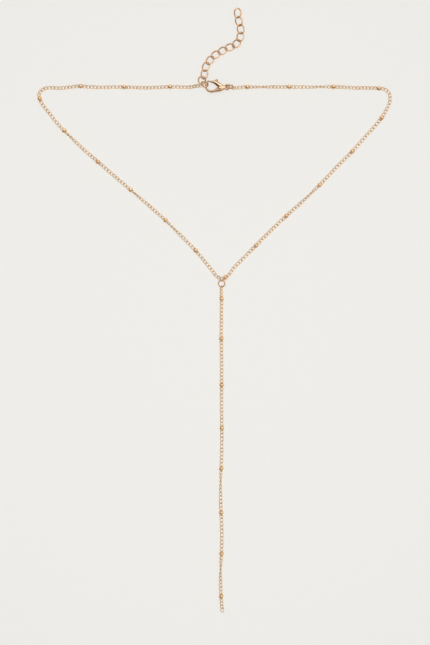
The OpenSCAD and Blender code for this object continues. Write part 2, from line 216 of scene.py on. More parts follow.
def wire_grain(steps, sides):
    """Where each point lies on its wire, for lines that run along it: (cos q, sin q, a cosine of the way
    round the link), and the painted shade on the wire's inner side: how far the point faces into the link,
    (1 - cos q) / 2."""
    t, q = np.meshgrid(np.arange(steps) / steps, np.arange(sides) / sides * 2 * np.pi, indexing="ij")
    grain = np.stack([np.cos(q), np.sin(q), np.cos(2 * np.pi * t) * GRAIN_LENGTH / (2 * np.pi)], -1)
    return grain.reshape(-1, 3), ((1 - np.cos(q)) / 2).ravel()


def set_out(shape, places):
    """Copies of a shape, one for each place. A place is x, y, z, heading, tilt and roll: the shape is
    rolled about X, tilted about Y and headed about Z, and then moved."""
    heading_cos, tilt_cos, roll_cos = np.cos(places[:, 3:6]).T
    heading_sin, tilt_sin, roll_sin = np.sin(places[:, 3:6]).T
    turn = np.stack([
        heading_cos * tilt_cos,
        heading_cos * tilt_sin * roll_sin - heading_sin * roll_cos,
        heading_cos * tilt_sin * roll_cos + heading_sin * roll_sin,
        heading_sin * tilt_cos,
        heading_sin * tilt_sin * roll_sin + heading_cos * roll_cos,
        heading_sin * tilt_sin * roll_cos - heading_cos * roll_sin,
        -tilt_sin,
        tilt_cos * roll_sin,
        tilt_cos * roll_cos,
    ], -1).reshape(-1, 3, 3)
    return np.einsum("nij,mj->nmi", turn, shape.reshape(-1, 3)) + places[:, None, :3]


def repeated(faces, count, points_each):
    """The faces of one shape, repeated for each of its copies."""
    return (faces[None] + np.arange(count)[:, None, None] * points_each).reshape(-1, faces.shape[-1])


def add_piece(name, points, faces, material, nodes, body="root", grain=None, painted_inner_shade=None):
    """A smooth mesh that stands for CAD nodes and rides on their body. grain, and the painted shade on a
    wire's inner side, become attributes that the material reads."""
    mesh = bpy.data.meshes.new(name)
    mesh.from_pydata(points.reshape(-1, 3).tolist(), [], [face for part in faces for face in part.tolist()])
    mesh.polygons.foreach_set("use_smooth", np.ones(len(mesh.polygons), bool))
    if grain is not None:
        mesh.attributes.new("grain", "FLOAT_VECTOR", "POINT").data.foreach_set("vector", grain.ravel())
        mesh.attributes.new("painted_inner_shade", "FLOAT", "POINT").data.foreach_set("value", painted_inner_shade.ravel())
    mesh.materials.append(material)
    mesh.update()
    piece = bpy.data.objects.new(name, mesh)
    bpy.context.scene.collection.objects.link(piece)
    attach(piece, body)
    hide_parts(*nodes)
    return piece


# Scales of the noises: the slow one that the colour follows, and the fine ones on castings and on wire
CLOUD_SCALE = 420.0
CAST_SCALE = 5200.0
DRAWN_SCALE = 3.0
# Pointiness of a casting's surface where the painted shade in its hollows starts and where it is darkest
PAINTED_SHADE_EDGES = (0.53, 0.47)
# Noise values that the colour changes between, how much the noise deepens it at random, and how much
# painted shade darkens it in a hollow or on a wire's inner side
CLOUD_EDGES = (0.35, 0.7)
CLOUD_DEPTH = 0.55
PAINTED_SHADE_DEPTH = 0.45
# Noise values that the roughness changes between, and the strength and depth of the bump
SCUFF_EDGES = (0.3, 0.75)
BUMP_STRENGTH = 0.35
BUMP_DEPTH = 0.003 * MM


def plated_gold(name, bright, deep, gloss, scuff, drawn):
    """Gold plate over brass. Its colour wanders between two golds by a slow noise, and painted shade
    deepens
    it where the surface faces inwards: in a casting's hollows and on a wire's inner side. A fine noise,
    drawn out along the wire where it is drawn wire, sets the roughness and a shallow bump."""
    material = bpy.data.materials.new(name)
    material.use_nodes = True
    shader = material.node_tree.nodes["Principled BSDF"]
    shader.inputs["Metallic"].default_value = 1.0
    shader.inputs["Specular Tint"].default_value = (*bright, 1)
    place = add_node(material, "TexCoord").outputs["Object"]
    cloud = add_node(material, "TexNoise", [("Vector", place), ("Scale", CLOUD_SCALE),
                                            ("Detail", 2.0)]).outputs["Fac"]
    if drawn:
        # Painted shade on the inner side of the wire, from an attribute of the mesh
        painted_shade = add_node(material, "Attribute", attribute_name="painted_inner_shade").outputs["Fac"]
        fine_place = add_node(material, "Attribute", attribute_name="grain").outputs["Vector"]
        fine_scale = DRAWN_SCALE
    else:
        # Painted shade in the casting's hollows, where its pointiness is low
        edge = add_node(material, "NewGeometry").outputs["Pointiness"]
        painted_shade = add_node(material, "MapRange", [("Value", edge), ("From Min", PAINTED_SHADE_EDGES[0]),
                                                 ("From Max", PAINTED_SHADE_EDGES[1])]).outputs[0]
        fine_place = place
        fine_scale = CAST_SCALE
    fine = add_node(material, "TexNoise", [("Vector", fine_place), ("Scale", fine_scale), ("Detail", 4.0),
                                           ("Roughness", 0.65)]).outputs["Fac"]
    wander = add_node(material, "MapRange", [("Value", cloud), ("From Min", CLOUD_EDGES[0]),
                                             ("From Max", CLOUD_EDGES[1]),
                                             ("To Max", CLOUD_DEPTH)]).outputs[0]
    # How deep the colour is: the slow random wander and the painted shade together
    depth = add_node(material, "Math", [(0, painted_shade), (1, PAINTED_SHADE_DEPTH), (2, wander)],
                     operation="MULTIPLY_ADD", use_clamp=True).outputs[0]
    colour = add_node(material, "Mix", [(0, depth), (6, (*bright, 1)), (7, (*deep, 1))], data_type="RGBA")
    rough = add_node(material, "MapRange", [("Value", fine), ("From Min", SCUFF_EDGES[0]),
                                            ("From Max", SCUFF_EDGES[1]), ("To Min", gloss),
                                            ("To Max", gloss + scuff)]).outputs[0]
    bump = add_node(material, "Bump", [("Height", fine), ("Strength", BUMP_STRENGTH),
                                       ("Distance", BUMP_DEPTH)]).outputs[0]
    links = material.node_tree.links
    links.new(colour.outputs[2], shader.inputs["Base Color"])
    links.new(rough, shader.inputs["Roughness"])
    links.new(bump, shader.inputs["Normal"])
    return material


def curve_through(rows, spacing):
    """A smooth curve through the rows: between two rows a cubic in the way along the straight lines, whose
    slope at a row is the two lines' mean, weighted towards the shorter line. Returns its points,
    the length of the curve up to each of them, and its length up to each row."""
    steps = np.linalg.norm(np.diff(rows, axis=0), axis=1)
    knots = np.concatenate([[0], np.cumsum(steps)])
    lines = np.diff(rows, axis=0) / steps[:, None]
    before, after = steps[:-1, None], steps[1:, None]
    slope = np.vstack([lines[:1], (lines[:-1] * after + lines[1:] * before) / (before + after), lines[-1:]])
    at = np.linspace(0, knots[-1], int(knots[-1] / spacing) + 2)
    i = np.clip(np.searchsorted(knots, at, side="right") - 1, 0, len(steps) - 1)
    h = steps[i][:, None]
    u = (at - knots[i])[:, None] / h
    points = ((1 + 2 * u) * (1 - u) ** 2 * rows[i] + u * (1 - u) ** 2 * h * slope[i]
              + u ** 2 * (3 - 2 * u) * rows[i + 1] - u ** 2 * (1 - u) * h * slope[i + 1])
    length = np.concatenate([[0], np.cumsum(np.linalg.norm(np.diff(points, axis=0), axis=1))])
    return points, length, np.interp(knots, at, length)


def rolled_z(roll):
    """Middle height of a link that rests on the board and is rolled about the chain: half the wire, half
    the link's width between wire middles times sin roll, and the twist's rise times cos roll."""
    half_width = (LINK_WIDTH - LINK_WIRE) / 2
    return LINK_WIRE / 2 + half_width * np.abs(np.sin(roll)) + LINK_TWIST * np.abs(np.cos(roll))


def lift(distance):
    """Share of a bead's lift at a distance from it along the chain: a half cosine, from 1 down to 0."""
    near = np.clip(np.abs(distance) / BEAD_LIFT_REACH, 0, 1)
    return (1 + np.cos(np.pi * near)) / 2


def evenly(start, end):
    """Link middles from start to end, as far apart as the pitch allows."""
    return np.linspace(start, end, int(np.round((end - start) / LINK_PITCH)) + 1)


DEG = np.pi / 180
# Units of a link's place: x, y, z, heading, tilt and roll
POSE_UNITS = np.array([MM, MM, MM, DEG, DEG, DEG])
ROUTE_SPACING = 0.1 * MM
# Lengths of chain in which the end links' roll dies away and in which it turns half over
SETTLE_LENGTH = 12 * MM
TURNING_LENGTH = 20 * MM
# Slow wander of the roll: the waves' size, their lengths for one radian, and the power of a half sine that
# takes them down to nothing at both ends
ROLL_WANDER = 2.2 * DEG
WANDER_LENGTHS = np.array([2.9, 4.7, 7.9]) * MM
WANDER_FADE = 0.3
# How far a link turns in its neighbours' grip: heading, tilt and roll
LINK_PLAY = np.array([1.2, 1.0, 1.5]) * DEG


def links_along(route, end_rolls, turnings, random):
    """Places of the links along a route, from its first row to its last, both of which hold a link of their
    own. The chain lies flat, half turns over at each turning, and is lifted at its beads. Returns the
    places of the plain links and of the links that carry a bead."""
    points, length, marks = curve_through(route[:, :2], ROUTE_SPACING)
    beads = marks[route[:, 2] == 1]
    starts = np.concatenate([marks[:1], beads + BEAD_REACH])
    ends = np.concatenate([beads - BEAD_REACH, marks[-1:]])
    plain = np.concatenate([evenly(start, end) for start, end in zip(starts, ends)])[1:-1]
    nearest = [np.argmin(np.linalg.norm(points - turning, axis=1)) for turning in turnings]
    turned_at = length[nearest]
    settled = np.interp(length, [0, SETTLE_LENGTH, length[-1] - SETTLE_LENGTH, length[-1]],
                        [end_rolls[0], 0, 0, end_rolls[1]])
    share = np.clip((length[:, None] - turned_at) / TURNING_LENGTH + 0.5, 0, 1)
    roll = settled - np.pi * (share ** 2 * (3 - 2 * share)).sum(1)
    waves = random.uniform(0, 2 * np.pi, 3)
    quiet = np.sin(np.pi * length / length[-1]) ** WANDER_FADE
    roll = roll + quiet * ROLL_WANDER * np.sin(length[:, None] / WANDER_LENGTHS + waves).sum(1)
    rest = rolled_z(roll)
    z = rest + (np.maximum(BEAD_LINK_Z, rest) - rest) * lift(length[:, None] - beads).sum(1)
    slope = np.gradient(points, axis=0)
    heading = np.unwrap(np.arctan2(slope[:, 1], slope[:, 0]))
    tilt = -np.arctan(np.gradient(z, length))
    table = np.column_stack([points, z, heading, tilt, roll])
    places = [np.column_stack([np.interp(at, length, column) for column in table.T])
              for at in (plain, beads)]
    places[0][:, 3:] += random.uniform(-1, 1, (len(plain), 3)) * LINK_PLAY
    return places


# Links given one by one at the ends of both halves: x, y, z, heading, tilt and roll
LEFT_BACK_LINKS = np.array([
    [-6.8, 112.65, 2.08, 20, -4, 20],
    [-8.4, 112.35, 1.82, 6, -15, 22],
    [-9.95, 112.2, 1.32, 9, -23, 22],
    [-11.4, 111.9, 0.86, 8, -9, 23],
    [-12.85, 111.75, 0.7, 4, -4, 26],
]) * POSE_UNITS
LEFT_FRONT_LINKS = np.array([
    [0.95, 17.6, 0.64, -42, 3, 13],
    [2.25, 16.75, 0.88, -32, -18, 9],
]) * POSE_UNITS
# The larger link in the middle of the front, and the link with a bead beside it
CENTRE_LINK = np.array([[3.75, 15.85, 0.96, -4, 16, 1]]) * POSE_UNITS
CENTRE_LINK_LENGTH = 3.0 * MM
CENTRE_LINK_WIDTH = 2.3 * MM
FRONT_BEAD_LINK = np.array([[5.55, 16.8, 0.86, 32, 0, -15]]) * POSE_UNITS
RIGHT_FRONT_LINKS = np.array([[7.15, 17.95, 0.86, 44, 6, -23]]) * POSE_UNITS
RIGHT_BACK_LINKS = np.array([
    [9.6, 111.5, 0.98, 0, 19, 4],
    [11.05, 111.6, 0.66, 0, 6, -3],
]) * POSE_UNITS

# Route of the left chain from the clasp's side to the front: x, y and 1 where a bead sits
LEFT_ROUTE = np.array([
    [-12.85, 111.75, 0], [-22.1, 112, 1], [-33.4, 111.6, 0], [-44.9, 111.9, 1], [-61, 111.9, 0],
    [-66.8, 112.3, 1], [-78.1, 111.4, 0], [-81.7, 111.6, 0], [-84.3, 111.3, 0], [-86.3, 110.1, 0],
    [-87.5, 108.5, 0], [-87.2, 106, 1], [-86.2, 103.8, 0], [-83.8, 100.6, 0], [-81.7, 98, 0],
    [-79.9, 95.6, 0], [-77.3, 92.5, 0], [-75, 90.1, 1], [-66.7, 82.1, 0], [-58.1, 74.5, 1],
    [-41.8, 60.5, 1], [-24.4, 45.3, 1], [-16.8, 37.8, 0], [-9.3, 30.2, 1], [-5.7, 25.9, 0],
    [-2.7, 22.2, 0], [0.95, 17.6, 0],
]) * [MM, MM, 1]
# Where the left chain turns half over, and the rolls of its first and last link
LEFT_TURNINGS = np.array([[-73.2, 87.8], [-39.3, 58.3], [-20.7, 42.2]]) * MM
LEFT_END_ROLLS = np.array([-28, 13]) * DEG
# Route of the right chain from the front to the clasp
RIGHT_ROUTE = np.array([
    [7.15, 17.95, 0], [10.6, 22.4, 0], [13.1, 24.9, 0], [15.2, 27, 0], [20.8, 32.7, 1], [28.3, 40.2, 0],
    [36, 47.5, 1], [44.5, 55.1, 0], [52.6, 62.9, 1], [60.7, 71.4, 0], [68.9, 79.7, 1], [76.3, 88, 0],
    [83.6, 96.5, 1], [86, 100.4, 0], [87.4, 103.5, 0], [87.9, 106.7, 0], [87.2, 109.2, 0],
    [85.2, 110.7, 0], [82.2, 111.2, 1], [70.8, 111.5, 0], [59.5, 112, 1], [48.6, 111.9, 0],
    [37.4, 112, 1], [27.1, 111.9, 0], [16.5, 111.9, 1], [11.05, 111.6, 0],
]) * [MM, MM, 1]
# Where the right chain turns half over, and the rolls of its first and last link
RIGHT_TURNINGS = np.array([[47.6, 58], [53, 111.9], [24.5, 111.9]]) * MM
RIGHT_END_ROLLS = np.array([-23, 3]) * DEG

chain_gold = plated_gold("chain_gold", bright=(0.96, 0.75, 0.49), deep=(0.88, 0.56, 0.28), gloss=0.16,
                         scuff=0.14, drawn=True)
random = np.random.default_rng(7)
fine_link = wire_link(LINK_LENGTH, LINK_WIDTH, LINK_WIRE, LINK_TWIST, LINK_STEPS, LINK_SIDES)
bead_link = wire_link(BEAD_LINK_LENGTH, LINK_WIDTH, LINK_WIRE, LINK_TWIST, LINK_STEPS, LINK_SIDES)
centre_link = wire_link(CENTRE_LINK_LENGTH, CENTRE_LINK_WIDTH, LINK_WIRE, LINK_TWIST, LINK_STEPS,
                        LINK_SIDES)
link_faces = loop_faces(LINK_STEPS, LINK_SIDES)


def add_chain(name, shapes, nodes):
    """One piece of many links: shapes holds pairs of a link's surface and the places that it is set out
    at. A link that would dip under the board is lifted onto it."""
    points = np.concatenate([set_out(shape, places) for shape, places in shapes])
    points[..., 2] -= np.minimum(points[..., 2].min(1, keepdims=True), 0)
    count, each = points.shape[:2]
    # Grain along the wire, and painted shade on each link's inner side
    grain, painted_inner_shade = wire_grain(LINK_STEPS, LINK_SIDES)
    shift = random.uniform(0, GRAIN_SPREAD, (count, 1, 3)) * [0, 0, 1]
    return add_piece(name, points, [repeated(link_faces, count, each)], chain_gold, nodes,
                     grain=grain[None] + shift, painted_inner_shade=np.tile(painted_inner_shade, count))


left_plain, left_bead_links = links_along(LEFT_ROUTE, LEFT_END_ROLLS, LEFT_TURNINGS, random)
add_chain("neck_links_left", [
    (fine_link, np.concatenate([LEFT_BACK_LINKS, left_plain, LEFT_FRONT_LINKS])),
    (bead_link, left_bead_links),
    (centre_link, CENTRE_LINK),
], ["neck_chain_left"])

right_plain, right_bead_links = links_along(RIGHT_ROUTE, RIGHT_END_ROLLS, RIGHT_TURNINGS, random)
add_chain("neck_links_right", [
    (fine_link, np.concatenate([RIGHT_FRONT_LINKS, right_plain, RIGHT_BACK_LINKS])),
    (bead_link, np.concatenate([FRONT_BEAD_LINK, right_bead_links])),
], ["neck_chain_right"])


# Drop chain
# The same curb chain, hung from its ring and laid straight down the board. It lies flat, turns half
# over below its fifth bead and again below its seventh, and ends in a bare link.

# Route of the drop: x, y, 1 where a bead sits, the roll there before any turning, and the sideways bow of
# the stretch after it
DROP_ROUTE = np.array([
    [3.55, 11.5, 0, 136, 0],
    [3.65, 6.1, 1, 155, 0],
    [3.5, -13.9, 1, 180, 0.1],
    [3.65, -37, 1, 180, 0],
    [3.75, -58.4, 1, 180, 0.15],
    [3.45, -78.7, 1, 180, -0.3],
    [3.4, -100.7, 1, 180, 0.25],
    [3.6, -121.2, 1, 180, -0.35],
    [3.4, -142.5, 1, 180, 0],
    [3.95, -149.4, 0, 180, 0],
]) * [MM, MM, 1, DEG, MM]
# Where along y the drop turns half over, and the length that each turning takes
DROP_TURNINGS = np.array([-85.5, -129]) * MM
DROP_TURNING_LENGTH = 18 * MM
# Distance over which the slope of a lifted link is taken
SLOPE_STEP = 0.1 * MM


def turned_over(y):
    """Roll that the drop's turnings take off at y: half a turn for each, spread evenly over its length."""
    passed = (DROP_TURNINGS - np.asarray(y)[..., None]) / DROP_TURNING_LENGTH + 0.5
    return np.pi * np.clip(passed, 0, 1).sum(-1)


def stretch_links(row, after):
    """Places of the links between two rows of the drop's route, evenly spaced on the straight line, moved
    sideways by bow times the sine of the way along, and rolled evenly from one row's roll to the next,
    less what the turnings take off."""
    full = np.linalg.norm(after[:2] - row[:2])
    ahead = (after[:2] - row[:2]) / full
    side = np.array([-ahead[1], ahead[0]])
    at = evenly(row[2] * BEAD_REACH, full - after[2] * BEAD_REACH)
    share = at / full
    bow = row[4]
    line = row[:2] + at[:, None] * ahead + (bow * np.sin(np.pi * share))[:, None] * side
    heading = np.arctan2(ahead[1], ahead[0]) + np.arctan(np.pi * bow / full * np.cos(np.pi * share))
    roll = row[3] + (after[3] - row[3]) * share - turned_over(line[:, 1])
    rest = rolled_z(roll)
    rise = np.maximum(BEAD_LINK_Z, rest) - rest
    up = row[2] * lift(at) + after[2] * lift(full - at)
    up_next = row[2] * lift(at + SLOPE_STEP) + after[2] * lift(full - at - SLOPE_STEP)
    tilt = -np.arctan((up_next - up) / SLOPE_STEP * rise)
    return np.column_stack([line, rest + rise * up, heading, tilt, roll])


def bead_link_place(before, row, after):
    """Place of the link that carries the bead at a row, headed midway between the stretches beside it."""
    ahead = unit(row[:2] - before[:2]) + unit(after[:2] - row[:2])
    roll = row[3] - turned_over(row[1])
    return [row[0], row[1], max(BEAD_LINK_Z, rolled_z(roll)), np.arctan2(ahead[1], ahead[0]), 0, roll]


drop_links = np.concatenate([
    stretch_links(row, after) for row, after in zip(DROP_ROUTE[:-1], DROP_ROUTE[1:])])
drop_bead_links = np.array([
    bead_link_place(*rows) for rows in zip(DROP_ROUTE[:-2], DROP_ROUTE[1:-1], DROP_ROUTE[2:])])
add_chain("drop_links", [(fine_link, drop_links), (bead_link, drop_bead_links)], ["drop_chain"])


# Beads
# Small round brass beads, drilled through and burnished at the mouth of the hole, each soldered on
# one long link of the chain, so that it can't slide. Their plate is a little more satin than the wire's.
BEAD_DIAMETER = 2.2 * MM
BEAD_BORE = 1.6 * MM
BEAD_ROUNDING = 0.09 * MM
BEAD_SIDES = 28
# Points of a bead's outline: over the ball, round each side of a mouth, and through the hole
BALL_POINTS = 13
MOUTH_POINTS = 6
BORE_POINTS = 5

bead_gold = plated_gold("bead_gold", bright=(0.98, 0.70, 0.42), deep=(0.92, 0.56, 0.28), gloss=0.36,
                        scuff=0.1, drawn=False)


def drilled_ball(diameter, bore, rounding, sides):
    """Surface of a drilled ball whose hole lies along X: a closed outline swept round X. The outline goes
    over the ball as an arc, round the mouth of the hole as a small arc, and back through the hole as
    a straight line."""
    ball = diameter / 2
    hole = bore / 2
    mouth_r = hole + rounding
    mouth_x = np.sqrt((ball - rounding) ** 2 - mouth_r ** 2)
    edge = np.arctan2(mouth_x, mouth_r)
    over = np.linspace(edge, -edge, BALL_POINTS)
    left = np.linspace(-edge, -np.pi, MOUTH_POINTS)[1:]
    right = np.linspace(np.pi, edge, MOUTH_POINTS)[:-1]
    through = np.linspace(-mouth_x, mouth_x, BORE_POINTS)[1:-1]
    x = np.concatenate([ball * np.sin(over), -mouth_x + rounding * np.sin(left), through,
                        mouth_x + rounding * np.sin(right)])
    r = np.concatenate([ball * np.cos(over), mouth_r + rounding * np.cos(left),
                        np.full(len(through), hole), mouth_r + rounding * np.cos(right)])
    q = np.linspace(0, 2 * np.pi, sides, endpoint=False)[None, :]
    return np.stack([x[:, None] + 0 * q, r[:, None] * np.cos(q), r[:, None] * np.sin(q)], -1)


ball_shape = drilled_ball(BEAD_DIAMETER, BEAD_BORE, BEAD_ROUNDING, BEAD_SIDES)
ball_faces = loop_faces(*ball_shape.shape[:2])
neck_bead_links = np.concatenate([left_bead_links, FRONT_BEAD_LINK, right_bead_links])
for part, links in (("neck", neck_bead_links), ("drop", drop_bead_links)):
    for i, link in enumerate(links):
        # The ball rests on the board and is headed as its link is
        place = [link[0], link[1], BEAD_DIAMETER / 2, link[3], 0, 0]
        add_piece(f"{part}_ball_{i + 1}", set_out(ball_shape, np.array([place])), [ball_faces], bead_gold,
                  [f"{part}_bead_{i + 1}"])


# Jump rings
# Three rings of round brass wire, wound on a rod, cut and pressed shut: one on each end of the neck
# chain and one that carries the drop. The two cut ends meet face to face and leave a hairline.
RING_DIAMETER = 4.0 * MM
RING_WIRE = 0.55 * MM
DROP_RING_WIRE = 0.5 * MM
RING_STEPS = 64
RING_SIDES = 16
# The cut: its width, the softening of the wire's edge at it, and the points of that edge's arc
HAIRLINE = 0.03 * MM
CUT_ROUNDING = 0.05 * MM
CUT_POINTS = 4
# name, node, wire, direction of the cut, and place
RINGS = [
    ("end_jump_ring", "end_ring", RING_WIRE, 200 * DEG, [-4.85, 113.25, 1.38, -1, 15, -37]),
    ("clasp_jump_ring", "clasp_ring", RING_WIRE, 60 * DEG, [7.7, 111.95, 1.86, -7, 2, 66]),
    ("drop_jump_ring", "drop_ring", DROP_RING_WIRE, 35 * DEG, [3.65, 13.75, 1, -1, -25, -2]),
]

ring_gold = plated_gold("ring_gold", bright=(0.84, 0.60, 0.37), deep=(0.68, 0.36, 0.16), gloss=0.13,
                        scuff=0.12, drawn=True)


def cut_ring(diameter, wire, cut):
    """Surface of a ring of wire that starts and ends at the cut: circles of the wire's radius along a
    circle. Towards each cut face the wire's radius falls along a quarter of an arc, for the softened
    edge. Returns the surface and the middle of each cut face."""
    middle_r = (diameter - wire) / 2
    start = HAIRLINE / 2 / middle_r
    soft = CUT_ROUNDING / middle_r
    arc = np.linspace(0, np.pi / 2, CUT_POINTS)[:-1]
    edge = soft * (1 - np.cos(arc))
    run = np.linspace(start + soft, 2 * np.pi - start - soft, RING_STEPS)
    t = np.concatenate([start + edge, run, 2 * np.pi - start - edge[::-1]])
    fall = CUT_ROUNDING * (1 - np.sin(arc))
    radius = np.concatenate([wire / 2 - fall, np.full(RING_STEPS, wire / 2), wire / 2 - fall[::-1]])
    t = (t + cut)[:, None]
    middle = np.stack([middle_r * np.cos(t), middle_r * np.sin(t), 0 * t], -1)
    along = np.stack([-np.sin(t), np.cos(t), 0 * t], -1)
    return wire_round(middle, along, radius[:, None, None], RING_SIDES), middle[[0, -1], 0]


def tube_faces(steps, sides):
    """Quads of a tube that is open at both ends, and triangles from each end's ring to a middle point. The
    two middle points come after all the others."""
    quads = loop_faces(steps, sides)[: (steps - 1) * sides]
    j = np.arange(sides)
    j_next = (j + 1) % sides
    first, last = steps * sides, steps * sides + 1
    end = (steps - 1) * sides
    first_fan = np.column_stack([np.full(sides, first), j, j_next])
    last_fan = np.column_stack([np.full(sides, last), end + j_next, end + j])
    return [quads, first_fan, last_fan]


def strand_grain(steps, sides, length):
    """As wire_grain, for a wire with two ends: (cos q, sin q, way along), with the end faces' middle points
    last. The painted shade on the wire's inner side is as there, and half on the end faces."""
    t, q = np.meshgrid(np.linspace(0, length, steps), np.arange(sides) / sides * 2 * np.pi, indexing="ij")
    grain = np.stack([np.cos(q), np.sin(q), t], -1).reshape(-1, 3)
    painted_inner_shade = ((1 - np.cos(q)) / 2).ravel()
    return np.vstack([grain, [[0, 0, 0], [0, 0, length]]]), np.append(painted_inner_shade, [0.5, 0.5])


for name, node, wire, cut, place in RINGS:
    surface, cut_middles = cut_ring(RING_DIAMETER, wire, cut)
    steps, sides = surface.shape[:2]
    shape = np.vstack([surface.reshape(-1, 3), cut_middles])
    # Grain along the wire, and painted shade on the ring's inner side
    grain, painted_inner_shade = strand_grain(steps, sides, GRAIN_LENGTH)
    points = set_out(shape, np.array([place]) * POSE_UNITS)
    add_piece(name, points, tube_faces(steps, sides), ring_gold, [node], grain=grain,
              painted_inner_shade=painted_inner_shade)


# Extender
# Eleven large twisted links and a small round one, of heavier wire than the fine chain, so that the
# clasp can hook into any of them. Each was bent from wire and its ends brazed, with a slight swelling.
EXT_LENGTH = 5.3 * MM
EXT_WIDTH = 3.8 * MM
EXT_WIRE = 0.55 * MM
EXT_TWIST = 0.4 * MM
EXT_ROUND_DIAMETER = 4.2 * MM
EXT_STEPS = 56
EXT_SIDES = 14
# The braze: where it is and how far that varies, as shares of the way round, and the swelling's share of
# the wire's thickness and its length as a share of the way round
BRAZE_AT = 0.3
BRAZE_DRIFT = 0.04
BRAZE_SWELL = 0.07
BRAZE_LENGTH = 0.045
# How much longer the grain of the extender's wire is than the fine links'
EXT_GRAIN = 2
# Places of the twisted links from the free end to the clasp, and of the round one
EXT_LINKS = np.array([
    [11.7, 148.8, 0.8, -90, 0, 6],
    [12.3, 144.8, 0.85, -75, 2, 1],
    [13.2, 140.85, 0.8, -82, -2, -1],
    [13, 136.95, 0.84, -105, -3, 0],
    [11.1, 133.55, 0.88, -135, -3, 0],
    [7.65, 131.75, 0.75, -163, 2, -2],
    [4.1, 130, 0.75, -152, 0, -2],
    [0.65, 128, 0.75, -147, 1, 1],
    [-2.15, 125.25, 0.84, -129, -1, 2],
    [-4.2, 122, 0.88, -113, 1, 6],
    [-4.95, 118.2, 1.24, -99, -8, 7],
    [-6.15, 115.3, 1.16, -27, 7, 10],
]) * POSE_UNITS


def brazed_link(length, width, wire, twist, braze_at):
    """A curb link's surface with more steps, whose wire swells at the braze as a bell curve of the way
    round."""
    t = np.linspace(0, 1, EXT_STEPS, endpoint=False)
    away = (t - braze_at + 0.5) % 1 - 0.5
    swell = 1 + BRAZE_SWELL * np.exp(-(away / BRAZE_LENGTH) ** 2)
    thin = wire_link(length, width, wire, twist, EXT_STEPS, EXT_SIDES)
    middle = thin.mean(1, keepdims=True)
    return middle + (thin - middle) * swell[:, None, None]


ext_faces = loop_faces(EXT_STEPS, EXT_SIDES)
for i, place in enumerate(EXT_LINKS):
    # Every other link has its braze on the other side
    braze_at = (BRAZE_AT + 0.5 * (i % 2) + random.uniform(-BRAZE_DRIFT, BRAZE_DRIFT)) % 1
    if i < len(EXT_LINKS) - 1:
        shape = brazed_link(EXT_LENGTH, EXT_WIDTH, EXT_WIRE, EXT_TWIST, braze_at)
    else:
        shape = brazed_link(EXT_ROUND_DIAMETER, EXT_ROUND_DIAMETER, EXT_WIRE, 0, braze_at)
    # Grain along the wire, and painted shade on the link's inner side
    grain, painted_inner_shade = wire_grain(EXT_STEPS, EXT_SIDES)
    grain = grain * [1, 1, EXT_GRAIN] + [0, 0, random.uniform(0, GRAIN_SPREAD)]
    add_piece(f"ext_link_{i + 1}", set_out(shape, place[None]), [ext_faces], ring_gold,
              [f"extender_link_{i + 1}"], grain=grain, painted_inner_shade=painted_inner_shade)


# Clasp
# A lobster clasp, cast in brass, tumbled smooth and plated. Its body runs from the eye, through the
# thick part that holds the lever, round into the hook. The lever turns on a rivet in a slot.
CLASP_MIDDLE = np.array([6.3, 111.75, 1.3]) * MM
# Rows along the body and hook, seen from the eye's middle: x, y, half width and half height
BODY_ROWS = np.array([
    [-1, 0, 0.75, 0.65],
    [-2, -0.2, 1.2, 0.95],
    [-3.2, -0.5, 1.5, 1.25],
    [-4.3, -1.1, 1.2, 1.3],
    [-5.4, -1.65, 0.75, 1.2],
    [-6.8, -2.05, 0.55, 1.05],
    [-8.2, -2.15, 0.5, 0.9],
    [-9.3, -1.75, 0.48, 0.6],
    [-10.15, -0.85, 0.43, 0.5],
    [-10.5, 0.3, 0.4, 0.45],
    [-10.4, 1.5, 0.4, 0.45],
    [-9.95, 2.4, 0.4, 0.45],
    [-9.3, 2.85, 0.4, 0.45],
    [-8.95, 2.93, 0.36, 0.45],
]) * MM
BODY_SIDES = 32
EYE_RADIUS = 1.45 * MM
EYE_HOLE_RADIUS = 0.9 * MM
EYE_THICKNESS = 1.1 * MM
EYE_ROUNDING = 0.25 * MM
# Rivet's middle, the slot between the cheeks, and in it the room for the lever's hub, which stops at
# this x towards the eye
PIVOT = np.array([-3, 0.3]) * MM
SLOT_HEIGHT = 1.16 * MM
SLOT_OUTLINE = np.array([[-3, 4.5], [-8, 4.5], [-8, 0.3], [-4.6, -0.75], [-3, -1.05]]) * MM
HUB_ROOM_RADIUS = 1.35 * MM
HUB_ROOM_END = -2.05 * MM
# Crease between each cheek and the hook's stem: x, y, half width and half depth, and the surface's height
CREASE_ROWS = np.array([
    [-4.9, -0.15, 0.3, 0.4],
    [-4.2, -0.7, 0.3, 0.38],
    [-3.5, -1.0, 0.24, 0.3],
    [-2.8, -1.12, 0.16, 0.2],
    [-2.2, -1.1, 0.1, 0.12],
]) * MM
CREASE_HEIGHTS = np.array([1.25, 1.27, 1.25, 1.02, 0.78]) * MM
CREASE_SIDES = 16
# Power that shapes a section: 1 gives an oval, and more gives it sharper edges
OVAL = 1.0
SHARP_EDGED = 1.4
# Size of a casting's facets, and how many times its edges are softened
CAST_GRAIN = 0.07 * MM
CAST_SOFTENING = 4
# Spacing of the sections along a body, points of each end's arc, of a corner's arc and of a circle
SWEEP_SPACING = 0.08 * MM
END_POINTS = 7
CORNER_POINTS = 5
CIRCLE_POINTS = 48
# A cut that goes right through is this many times the thickness given for it
CUT_THROUGH = 4


